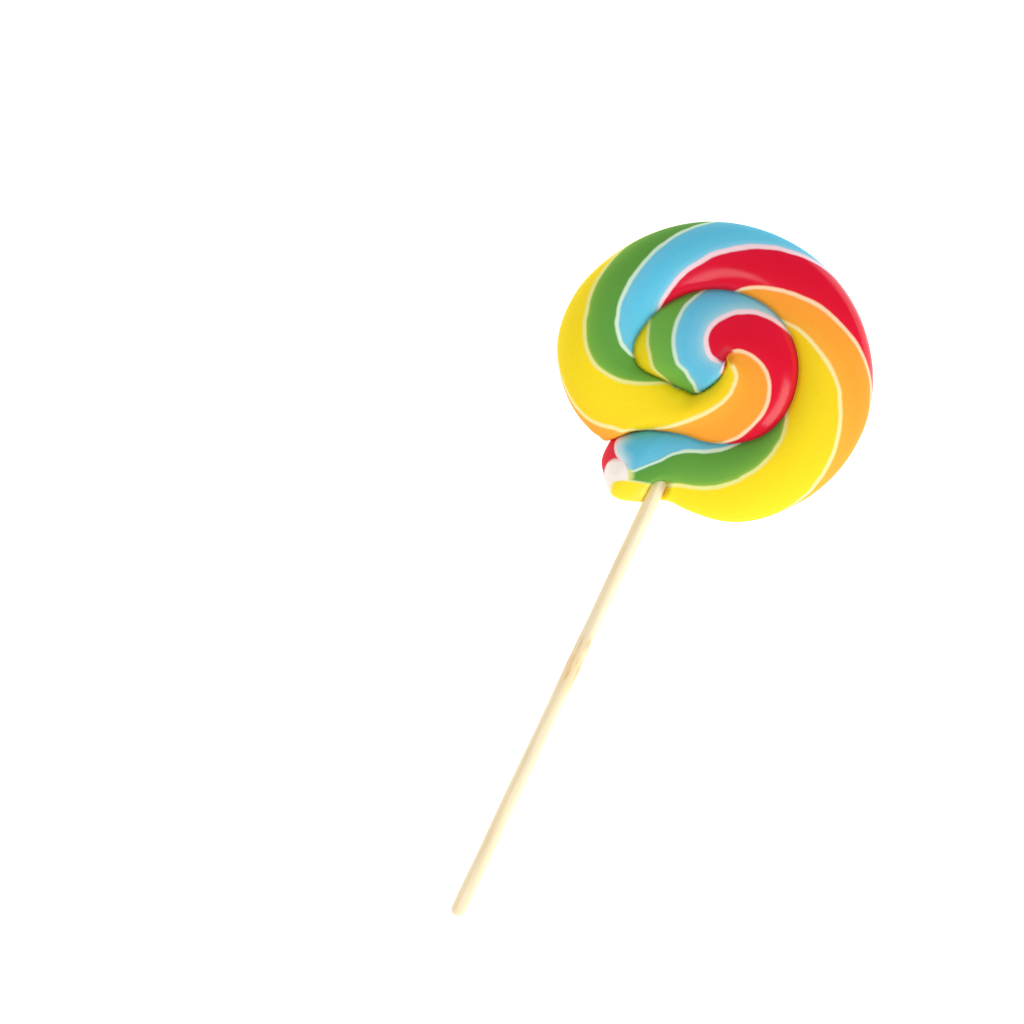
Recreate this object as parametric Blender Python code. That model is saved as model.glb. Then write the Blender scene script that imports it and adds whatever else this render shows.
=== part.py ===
"""Swirl lollipop, lying on its flat back with the shown face up.

A thick rope of striped boiled sugar with a pale core is coiled flat into a round head. The rope starts
at a slanted cut beside the stick, goes once round the rim, and winds on inwards to the swirl's centre.
Its turns are fused, so only a crease shows between them. A round wooden stick is pushed into the rim.

Frame: z = 0 is the flat back, +Z comes out of the shown face, +Y runs along the stick to the head.
Angles are counter-clockwise degrees about the swirl's centre and go on past 360 along the rope.
"""
import math

import bmesh
import bpy
import numpy as np

MM = 0.001

# The rope's outer edge: (degrees along the rope, mm from the swirl's centre). Up to one turn past the
# start it is the rim of the head. After that it is the crease against the turn outside it.
ROPE_START = 240
ROPE_END = 1025
ROPE_EDGE = (
    (240, 36.7), (243, 40.7), (248, 43.6), (255, 46.0), (262, 43.9), (271, 39.9), (281, 40.4),
    (295, 41.9), (320, 41.3), (360, 39.0), (400, 35.6), (430, 34.1), (460, 34.1), (490, 36.0),
    (520, 39.2), (545, 43.0), (558, 44.0), (575, 42.9), (590, 40.4), (596, 38.8), (600, 36.7),
    (602, 32.0), (605, 29.0), (612, 25.6), (622, 23.1), (640, 22.2), (680, 21.6), (730, 18.5),
    (780, 16.8), (830, 17.2), (870, 19.7), (905, 23.2), (918, 24.4), (930, 23.2), (943, 17.8),
    (960, 14.2), (974, 12.2), (983, 8.5), (997, 4.4), (1025, 0.0),
)

# Heights in mm above the flat back.
WIDEST_Z = 5.5
OUTER_CROWN = 12.2
KNOB_CROWN = 13.2
POLE_Z = 12.2
BACK_DEPTH = 6.2          # the back's round would reach this far under WIDEST_Z; the table flattened it
FRONT_POWER = 2.0         # 2 is an ellipse, more is flatter in the middle
BACK_POWER = 4.0
KNOB_FROM = 560           # the crown rises to the knob's between these two angles
KNOB_TO = 640
TAIL_CAP_ARC = 15         # the slanted cut at the rope's start, in degrees
TAIL_CAP_POWER = 1.6
FINISH_RADIUS = 9.0       # the rope's last end sinks to the pole inside this radius
FRONT_CREASE = (
    (600, 5.5), (605, 6.6), (612, 8.2), (622, 9.1), (640, 9.1), (700, 8.6), (800, 8.4), (880, 8.2),
    (918, 7.6), (955, 7.8), (975, 8.8), (990, 10.4), (1005, 11.6), (1025, 12.2),
)
BACK_CREASE = (
    (600, 5.5), (605, 4.2), (612, 2.6), (622, 1.4), (640, 1.0), (900, 0.9), (980, 0.5), (1025, 0.0),
)

# Mesh fineness.
FINE_SPAN = 45            # fine rows over this much of each turn from the cut, where the stick is
FINE_ROWS = 20
COARSE_ROWS = 45
FRONT_CELLS = 12
BACK_CELLS = 8

# The stick and its way into the rim.
STICK_DIAMETER = 4.0
STICK_LENGTH = 150.0
STICK_X = -2.3            # from the swirl's centre
STICK_FREE_END_Y = -159.0
STICK_Z = 6.4
STICK_END_ROUND = 1.7
STICK_ROUND_STEPS = 5
STICK_SIDES = 24
CLEARANCE = 0.3
SOCKET_REACH = 20.0       # the stick's socket is cut out this far past its mouth, clear of the rim
MOUTH_Y = -35.6           # where the candy closes over the stick
MOUTH_SLANT = 0.45        # the mouth's line rises this much to the right
MOUTH_LIP = 2.6           # length of the lip's slope
GROOVE_LEFT = 2.5
GROOVE_RIGHT = 3.3
GROOVE_FLOOR_Z = 6.0

# The pale core inside the rope.
CORE_FROM = 238
CORE_TO = 905
CORE_STEPS = 84
CORE_HALF_WIDTH = 2.8
CORE_HALF_HEIGHT = 2.6
CORE_TIP_SIZE = 0.6       # each end ring of the core is this share of its full size
CORE_SIDES = 12
CORE_Z = 5.4
CORE_EXIT_OUT = 8.0       # at the cut the core turns out towards the rim
CORE_EXIT_UP = 5.6        # and up towards the shown face
CORE_EXIT_ARC = 30

LAST_ROW_GAP = 1.0        # degrees that the last row of faces keeps from the rope's end
SHARP_ANGLE = 38.0
MERGE_DISTANCE = 0.00001  # metres

SUGAR_RED = (0.75, 0.01, 0.04, 1.0)
CORE_WHITE = (0.86, 0.78, 0.76, 1.0)
BIRCH = (0.93, 0.79, 0.53, 1.0)


def ease(value):
    """Smooth step from 0 to 1."""
    value = np.clip(value, 0.0, 1.0)
    return value * value * (3.0 - 2.0 * value)


def through(points, angles):
    """Smooth curve through (angle, value) points: cubic pieces with the mean slope at each point."""
    knots, values = np.array(points, float).T
    slopes = np.gradient(values, knots)
    angles = np.clip(angles, knots[0], knots[-1])
    piece = np.clip(np.searchsorted(knots, angles, side="right") - 1, 0, len(knots) - 2)
    width = knots[piece + 1] - knots[piece]
    s = (angles - knots[piece]) / width
    start = (1.0 + 2.0 * s) * (1.0 - s) ** 2 * values[piece] + s * (1.0 - s) ** 2 * width * slopes[piece]
    end = s * s * (3.0 - 2.0 * s) * values[piece + 1] - s * s * (1.0 - s) * width * slopes[piece + 1]
    return start + end


def rope_edge(angles):
    """Distance of the rope's outer edge from the swirl's centre."""
    return np.maximum(through(ROPE_EDGE, angles), 0.0)


def tail_cap(angles):
    """Share of the full thickness: 0 at the cut's tip, 1 where the slant ends."""
    left = 1.0 - np.clip((angles - ROPE_START) / TAIL_CAP_ARC, 0.0, 1.0)
    return (1.0 - left**TAIL_CAP_POWER) ** (1.0 / TAIL_CAP_POWER)


def front_crown(angles):
    """Height of the rope's crown over its widest plane."""
    body = OUTER_CROWN + (KNOB_CROWN - OUTER_CROWN) * ease((angles - KNOB_FROM) / (KNOB_TO - KNOB_FROM))
    sunk = POLE_Z + (body - POLE_Z) * ease(rope_edge(angles) / FINISH_RADIUS)
    return (sunk - WIDEST_Z) * tail_cap(angles)


def reach(rise, crown, power):
    """How far towards the round's rim, 0 to 1, the section goes before it meets its crease."""
    ratio = np.clip(rise / np.maximum(crown, 0.01), 0.0, 1.0)
    return (1.0 - ratio**power) ** (1.0 / power)


def section(crown, inner_rise, outer_rise, power, cells):
    """Places across the rope, 0 to 1, and heights there, for one row per angle."""
    inner = np.arcsin(reach(inner_rise, crown, power))
    outer = np.arcsin(reach(outer_rise, crown, power))
    step = np.linspace(0.0, 1.0, cells + 1)[None, :]
    turn = -inner[:, None] + (inner + outer)[:, None] * step
    across = np.sin(turn)
    height = crown[:, None] * (1.0 - np.abs(across) ** power) ** (1.0 / power)
    first = across[:, :1]
    last = across[:, -1:]
    return (across - first) / np.maximum(last - first, 1e-6), height


def row_angles():
    """Row angles along the rope. Each turn repeats the same ones, so neighbours share their crease."""
    fine = np.arange(FINE_ROWS) * FINE_SPAN / FINE_ROWS
    coarse = FINE_SPAN + np.arange(COARSE_ROWS) * (360 - FINE_SPAN) / COARSE_ROWS
    turn = ROPE_START + np.concatenate([fine, coarse])
    rows = np.concatenate([turn, turn + 360, turn + 720])
    return rows[rows < ROPE_END - LAST_ROW_GAP]


def grooved(x, y, z):
    """Presses the rim down where the stick lies in it, up to the lip where the candy closes over it."""
    aside = x - STICK_X
    outward = ease((MOUTH_Y + MOUTH_SLANT * aside - y) / MOUTH_LIP)
    beside = np.exp(-((aside / np.where(aside < 0.0, GROOVE_LEFT, GROOVE_RIGHT)) ** 6))
    return np.where(z > GROOVE_FLOOR_Z, z + (GROOVE_FLOOR_Z - z) * outward * beside, z)


def candy_sheet(rows, front):
    """Front or back surface of the rope as three arrays, one line of points across it for each row."""
    outer = rope_edge(rows)
    next_turn = rows + 360
    inner = np.where(next_turn < ROPE_END, rope_edge(next_turn), 0.0)
    on_rim = rows <= ROPE_START + 360
    if front:
        crown = front_crown(rows)
        outer_rise = np.where(on_rim, 0.0, through(FRONT_CREASE, rows) - WIDEST_Z)
        inner_rise = through(FRONT_CREASE, next_turn) - WIDEST_Z
        across, rise = section(crown, inner_rise, outer_rise, FRONT_POWER, FRONT_CELLS)
    else:
        crown = BACK_DEPTH * tail_cap(rows)
        outer_rise = np.where(on_rim, 0.0, WIDEST_Z - through(BACK_CREASE, rows))
        inner_rise = WIDEST_Z - through(BACK_CREASE, next_turn)
        across, rise = section(crown, inner_rise, outer_rise, BACK_POWER, BACK_CELLS)
    radius = inner[:, None] + (outer - inner)[:, None] * across
    turn = np.radians(rows)[:, None]
    x = radius * np.cos(turn)
    y = radius * np.sin(turn)
    if front:
        return x, y, grooved(x, y, WIDEST_Z + rise)
    return x, y, np.maximum(WIDEST_Z - rise, 0.0)


def build_candy_mesh(name):
    """The whole head: a front and a back spiral sheet that share the rim, closed at the centre."""
    rows = row_angles()
    count = len(rows)
    per_turn = FINE_ROWS + COARSE_ROWS
    mesh = bpy.data.meshes.new(name)
    bm = bmesh.new()
    rim = {}
    for front in (True, False):
        x, y, z = candy_sheet(rows, front)
        cells = x.shape[1] - 1
        pole = bm.verts.new((0.0, 0.0, (POLE_Z if front else 0.0) * MM))
        edge = {}

        def edge_vertex(row):
            """Vertex on the rope's outer edge. The rim is shared by both sheets, the creases are not."""
            if row >= count:
                return pole
            if row == per_turn:
                row = 0
            store = rim if row < per_turn else edge
            if row not in store:
                store[row] = bm.verts.new((x[row, -1] * MM, y[row, -1] * MM, z[row, -1] * MM))
            return store[row]

        def line_of_vertices(row):
            """Vertices across one row, from the inner edge to the outer one."""
            if row >= count:
                return [pole] * (cells + 1)
            if row == 0:
                return [edge_vertex(0)] * (cells + 1)
            middle = [
                bm.verts.new((x[row, column] * MM, y[row, column] * MM, z[row, column] * MM))
                for column in range(1, cells)
            ]
            return [edge_vertex(row + per_turn)] + middle + [edge_vertex(row)]

        line = line_of_vertices(0)
        for row in range(count):
            following = line_of_vertices(row + 1)
            for column in range(cells):
                corners = [line[column], line[column + 1], following[column + 1], following[column]]
                corners = list(dict.fromkeys(corners))
                if len(corners) < 3:
                    continue
                if not front:
                    corners.reverse()
                bm.faces.new(corners)
            line = following
    bm.to_mesh(mesh)
    bm.free()
    return mesh


def build_stick_mesh(name, radius, end_y, tip_y, end_round):
    """Round stick along Y, turned from a profile with rounded ends, about the Y axis."""
    turns = np.linspace(0.0, math.pi / 2, STICK_ROUND_STEPS + 1)
    out = radius - end_round + end_round * np.sin(turns)
    back = end_round * (1.0 - np.cos(turns))
    tip = list(zip(out, tip_y + back))
    end = list(zip(out[::-1], end_y - back[::-1]))
    profile = [(0.0, tip_y)] + tip + end + [(0.0, end_y)]
    mesh = bpy.data.meshes.new(name)
    bm = bmesh.new()
    vertices = [bm.verts.new((r * MM, y * MM, 0.0)) for r, y in profile]
    edges = [bm.edges.new(pair) for pair in zip(vertices, vertices[1:])]
    bmesh.ops.spin(
        bm, geom=vertices + edges, cent=(0, 0, 0), axis=(0, 1, 0), angle=math.tau, steps=STICK_SIDES
    )
    bmesh.ops.remove_doubles(bm, verts=bm.verts, dist=MERGE_DISTANCE)
    bmesh.ops.recalc_face_normals(bm, faces=bm.faces)
    bm.to_mesh(mesh)
    bm.free()
    return mesh


def build_core_mesh(name, grown):
    """Oval tube along the middle of the rope, wider all round by `grown` mm."""
    angles = np.linspace(CORE_FROM, CORE_TO, CORE_STEPS + 1)
    next_turn = angles + 360
    inner = np.where(next_turn < ROPE_END, rope_edge(next_turn), 0.0)
    exit_share = 1.0 - ease((angles - ROPE_START) / CORE_EXIT_ARC)
    radius = (rope_edge(angles) + inner) / 2 + CORE_EXIT_OUT * exit_share
    x = radius * np.cos(np.radians(angles))
    y = radius * np.sin(np.radians(angles))
    z = CORE_Z + CORE_EXIT_UP * exit_share
    along_x = np.gradient(x)
    along_y = np.gradient(y)
    length = np.hypot(along_x, along_y)
    size = np.ones(CORE_STEPS + 1)
    size[[0, -1]] = CORE_TIP_SIZE
    turn = np.radians(np.arange(CORE_SIDES) * 360 / CORE_SIDES)
    wide = (CORE_HALF_WIDTH + grown) * size[:, None] * np.cos(turn)[None, :]
    high = (CORE_HALF_HEIGHT + grown) * size[:, None] * np.sin(turn)[None, :]
    ring_x = x[:, None] + wide * (along_y / length)[:, None]
    ring_y = y[:, None] - wide * (along_x / length)[:, None]
    ring_z = z[:, None] + high
    mesh = bpy.data.meshes.new(name)
    bm = bmesh.new()
    rings = []
    for row in range(CORE_STEPS + 1):
        ring = [
            bm.verts.new((ring_x[row, side] * MM, ring_y[row, side] * MM, ring_z[row, side] * MM))
            for side in range(CORE_SIDES)
        ]
        rings.append(ring)
    for ring, following in zip(rings, rings[1:]):
        for side in range(CORE_SIDES):
            after = (side + 1) % CORE_SIDES
            bm.faces.new((ring[side], ring[after], following[after], following[side]))
    bm.faces.new(rings[0])
    bm.faces.new(rings[-1])
    bmesh.ops.recalc_face_normals(bm, faces=bm.faces)
    bm.to_mesh(mesh)
    bm.free()
    return mesh


def make_material(name, colour, roughness):
    """Plain surface with the part's colour and gloss."""
    material = bpy.data.materials.new(name)
    material.use_nodes = True
    shader = material.node_tree.nodes["Principled BSDF"]
    shader.inputs["Base Color"].default_value = colour
    shader.inputs["Roughness"].default_value = roughness
    shader.inputs["Metallic"].default_value = 0.0
    return material


def add_object(name, mesh, parent, location=(0.0, 0.0, 0.0)):
    """Object at a place in mm from its parent, shaded smooth away from its sharp edges."""
    piece = bpy.data.objects.new(name, mesh)
    bpy.context.collection.objects.link(piece)
    piece.parent = parent
    piece.location = [value * MM for value in location]
    mesh.shade_smooth()
    mesh.set_sharp_from_angle(angle=math.radians(SHARP_ANGLE))
    return piece


def hide_cutter(cutter):
    """A cutter only shapes the others."""
    cutter.hide_render = True
    cutter.display_type = "WIRE"


def cut(piece, other, operation):
    """Boolean of one piece with another."""
    modifier = piece.modifiers.new(operation.title(), "BOOLEAN")
    modifier.operation = operation
    modifier.object = other


for old in list(bpy.data.objects):
    bpy.data.objects.remove(old, do_unlink=True)

# The swirl's centre is placed so that the frame's origin is under the middle of the whole outline.
rim_turn = np.radians(np.arange(ROPE_START, ROPE_START + 360))
rim_radius = rope_edge(np.arange(ROPE_START, ROPE_START + 360))
rim_x = rim_radius * np.cos(rim_turn)
rim_y = rim_radius * np.sin(rim_turn)
lollipop = bpy.data.objects.new("lollipop", None)
bpy.context.collection.objects.link(lollipop)
lollipop.location = (
    -(rim_x.max() + rim_x.min()) / 2 * MM,
    -(rim_y.max() + STICK_FREE_END_Y) / 2 * MM,
    0.0,
)

stick_radius = STICK_DIAMETER / 2
stick_inner_y = STICK_FREE_END_Y + STICK_LENGTH
stick_mesh = build_stick_mesh("stick", stick_radius, stick_inner_y, STICK_FREE_END_Y, STICK_END_ROUND)
stick = add_object("stick", stick_mesh, lollipop, (STICK_X, 0.0, STICK_Z))
stick.data.materials.append(make_material("turned_birch", BIRCH, 0.6))

socket_mesh = build_stick_mesh(
    "socket_cutter",
    stick_radius + CLEARANCE,
    stick_inner_y + CLEARANCE,
    MOUTH_Y - SOCKET_REACH,
    STICK_END_ROUND,
)
socket_cutter = add_object("socket_cutter", socket_mesh, lollipop, (STICK_X, 0.0, STICK_Z))
hide_cutter(socket_cutter)

core_cutter = add_object("core_cutter", build_core_mesh("core_cutter", CLEARANCE), lollipop)
hide_cutter(core_cutter)

head_outline = add_object("head_outline", build_candy_mesh("head_outline"), lollipop)
hide_cutter(head_outline)

candy = add_object("candy", build_candy_mesh("candy"), lollipop)
candy.data.materials.append(make_material("boiled_sugar", SUGAR_RED, 0.3))
cut(candy, socket_cutter, "DIFFERENCE")
cut(candy, core_cutter, "DIFFERENCE")

core = add_object("core", build_core_mesh("core", 0.0), lollipop)
core.data.materials.append(make_material("pale_sugar", CORE_WHITE, 0.4))
cut(core, head_outline, "INTERSECT")
cut(core, socket_cutter, "DIFFERENCE")
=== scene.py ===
import math

import bpy
import numpy as np
from mathutils import Euler, Matrix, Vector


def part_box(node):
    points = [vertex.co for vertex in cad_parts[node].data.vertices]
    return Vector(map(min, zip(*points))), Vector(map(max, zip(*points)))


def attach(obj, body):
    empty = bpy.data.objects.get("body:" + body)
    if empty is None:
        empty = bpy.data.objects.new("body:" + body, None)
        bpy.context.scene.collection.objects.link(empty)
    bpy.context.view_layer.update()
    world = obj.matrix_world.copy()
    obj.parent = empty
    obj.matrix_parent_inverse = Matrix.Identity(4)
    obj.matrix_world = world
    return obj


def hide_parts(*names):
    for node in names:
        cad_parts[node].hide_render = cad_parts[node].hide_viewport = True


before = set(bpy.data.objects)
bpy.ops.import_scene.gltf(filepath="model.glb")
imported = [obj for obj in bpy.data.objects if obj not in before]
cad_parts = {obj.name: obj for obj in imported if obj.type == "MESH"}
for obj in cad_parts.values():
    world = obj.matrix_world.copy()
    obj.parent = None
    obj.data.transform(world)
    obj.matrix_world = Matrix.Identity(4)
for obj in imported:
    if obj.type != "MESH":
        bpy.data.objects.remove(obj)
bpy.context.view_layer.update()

# The head's rope. The real piece is one thick rope of boiled sugar, coiled flat while it was soft. Its turns
# are fused and meet in creases, its back is flat from the slab, and its cut end lies beside the stick.
MM = 0.001
ROPE_START = 240          # degrees round the swirl's centre; they go on past 360 along the rope
ROPE_END = 1025
# the rope's outer edge, fitted to the photo: (degrees, mm from the centre), first the rim, then the crease
ROPE_EDGE = (
    (240, 36.7), (243, 40.7), (248, 43.6), (255, 46.0), (262, 43.9), (271, 39.9), (281, 40.4),
    (295, 41.9), (320, 41.3), (360, 39.0), (400, 35.6), (430, 34.1), (460, 34.1), (490, 36.0),
    (520, 39.2), (545, 43.0), (558, 44.0), (575, 42.9), (590, 40.4), (596, 38.8), (600, 36.7),
    (602, 32.0), (605, 29.0), (612, 25.6), (622, 23.1), (640, 22.2), (680, 21.6), (730, 18.5),
    (780, 16.8), (830, 17.2), (870, 19.7), (905, 23.2), (918, 24.4), (930, 23.2), (943, 17.8),
    (960, 14.2), (974, 12.2), (983, 8.5), (997, 4.4), (1025, 0.0),
)
WIDEST_Z = 5.5            # the widest plane's height over the slab, in mm like all lengths here
OUTER_CROWN = 12.2        # top of the outer turn
KNOB_CROWN = 13.2         # top of the inner turn, the knob
POLE_Z = 12.2             # top of the last end, before it was pressed in
BACK_DEPTH = 6.2          # the back's round would reach this far down; the slab flattened it
FRONT_POWER = 2.0         # 2 is an ellipse, more is squarer
BACK_POWER = 4.0
KNOB_FROM = 560           # the crown rises to the knob's between these two angles
KNOB_TO = 640
KNOB_PAINTED_LIGHT_SPAN = 120      # and the stripes take the knob's painted light over this much after them
TAIL_CAP_ARC = 15         # the slanted cut at the rope's start, in degrees
TAIL_CAP_POWER = 1.6
NOTCH_SPAN = 24           # the notch's sharp turn in the edge is evened out over this much inside the rope
NOTCH_FROM = 575          # between these two angles,
NOTCH_TO = 665
NOTCH_RISE = 12           # coming in over this many degrees
NOTCH_FALL = 15           # and going out over this many
NOTCH_STEPS = 17
FINISH_RADIUS = 9.0       # the rope's last end sinks to the pole inside this radius
FRONT_CREASE = (          # (degrees, mm above the slab)
    (600, 5.5), (605, 6.6), (612, 8.2), (622, 9.1), (640, 9.1), (700, 8.6), (800, 8.4), (880, 8.2),
    (918, 7.6), (955, 7.8), (975, 8.8), (990, 10.4), (1005, 11.6), (1025, 12.2),
)
BACK_CREASE = (
    (600, 5.5), (605, 4.2), (612, 2.6), (622, 1.4), (640, 1.0), (900, 0.9), (980, 0.5), (1025, 0.0),
)
CREASE_CUT = 0.35         # how much deeper the very bottom of a crease is than the round sides
CREASE_HALF_WIDTH = 0.45  # the bottom's own width, where painted shade darkens it and it is less glossy
CREASE_BEGINS = 12        # degrees over which a crease comes in at the rope's start
DIMPLE_DEPTH = 0.5        # the little pit where the rope's last end is pressed in
DIMPLE_RADIUS = 1.1
POLE_SHIFT = (-0.6, -0.1)   # the last end is pressed in this far beside the coil's middle,
POLE_SPREAD = 5.0         # and takes the sugar round it along, less and less up to about twice this far
STICK_X = -2.3            # the stick's axis, from the swirl's centre
STICK_FREE_END_Y = -159.0
STICK_Z = 6.4
MOUTH_Y = -34.6           # where the candy closes over the stick
MOUTH_SLANT = 0.45        # the mouth's line rises this much to the right
MOUTH_ARCH = 0.22         # and falls off to both sides, in mm for each square mm
MOUTH_LIP = 2.2
GROOVE_LEFT = 2.4         # the dent's half widths on both sides of the stick's axis
GROOVE_RIGHT = 2.8
GROOVE_FLOOR_Z = 6.0
TAIL_MIDDLE = 265         # the cut end's colours give way to the stripes about this angle
TAIL_BLEND = 14
FINE_SPAN = 45            # fine rows over this much of each turn from the cut
FINE_ROWS = 150
COARSE_ROWS = 460
LAST_GAP = 0.4            # degrees that the last row keeps from the rope's end
FRONT_CELLS = 38
BACK_CELLS = 16
LEAST_SET = 8.0           # mm of sugar that one set of stripes takes, at the least and at the most
MOST_SET = 120.0
UV_PER_MM = 0.01          # along the rope
# where the stripes lie, fitted to the pale lines in the photo: degrees, then the stripe sets passed at the
# rope's inner edge, at one third, at two thirds and at its outer edge
STRIPE_COURSE = (
    (240, -0.297, -0.285, -0.158, 0.228), (254, -0.262, -0.191, -0.087, 0.260),
    (268, -0.238, -0.114, 0.006, 0.254), (290, -0.180, -0.051, 0.080, 0.254),
    (330, -0.044, 0.068, 0.229, 0.325), (355, 0.041, 0.169, 0.320, 0.428),
    (380, 0.122, 0.258, 0.397, 0.524), (405, 0.209, 0.351, 0.508, 0.614),
    (430, 0.315, 0.447, 0.597, 0.703), (480, 0.492, 0.609, 0.767, 0.856),
    (520, 0.625, 0.757, 0.910, 1.019), (550, 0.778, 0.867, 1.027, 1.193),
    (572, 0.904, 0.966, 1.115, 1.324), (588, 0.992, 1.073, 1.194, 1.376),
    (596, 0.994, 1.146, 1.267, 1.362), (600, 1.057, 1.165, 1.270, 1.341),
    (603, 1.069, 1.164, 1.231, 1.299), (607, 1.077, 1.166, 1.233, 1.281),
    (612, 1.090, 1.171, 1.239, 1.296), (621, 1.138, 1.191, 1.270, 1.331),
    (632, 1.137, 1.222, 1.310, 1.403), (655, 1.177, 1.267, 1.370, 1.471),
    (690, 1.279, 1.330, 1.453, 1.571), (730, 1.344, 1.424, 1.531, 1.622),
    (780, 1.419, 1.510, 1.619, 1.691), (830, 1.480, 1.591, 1.700, 1.784),
    (870, 1.543, 1.649, 1.793, 1.905), (900, 1.602, 1.722, 1.897, 2.003),
    (925, 1.636, 1.770, 1.972, 2.042), (950, 1.633, 1.751, 1.880, 1.993),
    (975, 1.623, 1.727, 1.793, 1.869), (993, 1.631, 1.674, 1.679, 1.731),
    (1025, 1.640, 1.639, 1.638, 1.637),
)

stick_low, stick_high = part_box("stick")
CENTRE_X = (stick_low[0] + stick_high[0]) / 2 / MM - STICK_X
CENTRE_Y = stick_low[1] / MM - STICK_FREE_END_Y


def ease(value):
    """Smooth step: 3 v squared less 2 v cubed, between 0 and 1."""
    value = np.clip(value, 0.0, 1.0)
    return value * value * (3.0 - 2.0 * value)


def through(points, angles, column=1):
    """Curve through (angle, value) points: a cubic in each gap, with the mean slope at each point."""
    table = np.array(points, float)
    knots = table[:, 0]
    values = table[:, column]
    slopes = np.gradient(values, knots)
    angles = np.clip(angles, knots[0], knots[-1])
    piece = np.clip(np.searchsorted(knots, angles, side="right") - 1, 0, len(knots) - 2)
    width = knots[piece + 1] - knots[piece]
    s = (angles - knots[piece]) / width
    start = (1.0 + 2.0 * s) * (1.0 - s) ** 2 * values[piece] + s * (1.0 - s) ** 2 * width * slopes[piece]
    end = s * s * (3.0 - 2.0 * s) * values[piece + 1] - s * s * (1.0 - s) * width * slopes[piece + 1]
    return start + end


def rope_edge(angles):
    """Distance of the rope's outer edge from the swirl's centre, never under zero."""
    return np.maximum(through(ROPE_EDGE, angles), 0.0)


def inner_edge(angles):
    """The rope's inner edge is its own outer edge one turn later, and the centre in the last turn."""
    return np.where(angles + 360 < ROPE_END, rope_edge(angles + 360), 0.0)


def tail_cap(angles):
    """Share of the full thickness over the slanted cut: (1 - (1 - u)^p)^(1/p), u from 0 at the tip to 1."""
    left = 1.0 - np.clip((angles - ROPE_START) / TAIL_CAP_ARC, 0.0, 1.0)
    return (1.0 - left**TAIL_CAP_POWER) ** (1.0 / TAIL_CAP_POWER)


def front_crown(angles):
    """Crown over the widest plane: the outer turn's, then the knob's, sunk to the pole's at the last end."""
    body = OUTER_CROWN + (KNOB_CROWN - OUTER_CROWN) * ease((angles - KNOB_FROM) / (KNOB_TO - KNOB_FROM))
    sunk = POLE_Z + (body - POLE_Z) * ease(rope_edge(angles) / FINISH_RADIUS)
    return (sunk - WIDEST_Z) * tail_cap(angles)


def reach(rise, crown, power):
    """How far out on the round |t|^p + (h / crown)^p = 1 the crease's height lies."""
    ratio = np.clip(rise / np.maximum(crown, 0.01), 0.0, 1.0)
    return (1.0 - ratio**power) ** (1.0 / power)


def even_edge(angles):
    """The outer edge evened out along the rope: its mean over NOTCH_SPAN either side, with bell weights."""
    offsets = np.linspace(-1.0, 1.0, NOTCH_STEPS)
    weights = np.exp(-2.0 * offsets**2)
    total = sum(w * rope_edge(angles + NOTCH_SPAN * o) for o, w in zip(offsets, weights)) / weights.sum()
    near_notch = ease((angles - NOTCH_FROM) / NOTCH_RISE) * ease((NOTCH_TO - angles) / NOTCH_FALL)
    return rope_edge(angles) + (total - rope_edge(angles)) * near_notch


def front_reach(angles):
    """Inner and outer reach of the front's section at each angle. The rim has the whole round."""
    crown = front_crown(angles)
    outer_rise = np.where(angles <= ROPE_START + 360, 0.0, through(FRONT_CREASE, angles) - WIDEST_Z)
    inner_rise = through(FRONT_CREASE, angles + 360) - WIDEST_Z
    return crown, reach(inner_rise, crown, FRONT_POWER), reach(outer_rise, crown, FRONT_POWER)


def grooved(x, y, z):
    """Sinks the rim to the groove's floor where the stick lies in it: times exp(-(distance / width)^6)."""
    aside = x - STICK_X
    outward = ease((MOUTH_Y + MOUTH_SLANT * aside - MOUTH_ARCH * aside**2 - y) / MOUTH_LIP)
    beside = np.exp(-((aside / np.where(aside < 0, GROOVE_LEFT, GROOVE_RIGHT)) ** 6))
    return np.where(z > GROOVE_FLOOR_Z, z + (GROOVE_FLOOR_Z - z) * outward * beside, z)


def crease_share(rows, inner, radius, outer):
    """1 at the bottom of a crease, falling as exp(-(distance / width)^2) up both of its sides."""
    outer_begins = ease((rows - ROPE_START - 360) / CREASE_BEGINS)
    inner_begins = ease((rows - ROPE_START) / CREASE_BEGINS)
    from_outer = np.exp(-(((outer - radius) / CREASE_HALF_WIDTH) ** 2)) * outer_begins
    from_inner = np.exp(-(((radius - inner) / CREASE_HALF_WIDTH) ** 2)) * inner_begins
    return np.maximum(from_outer, np.where(inner > 0, from_inner, 0.0))


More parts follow.
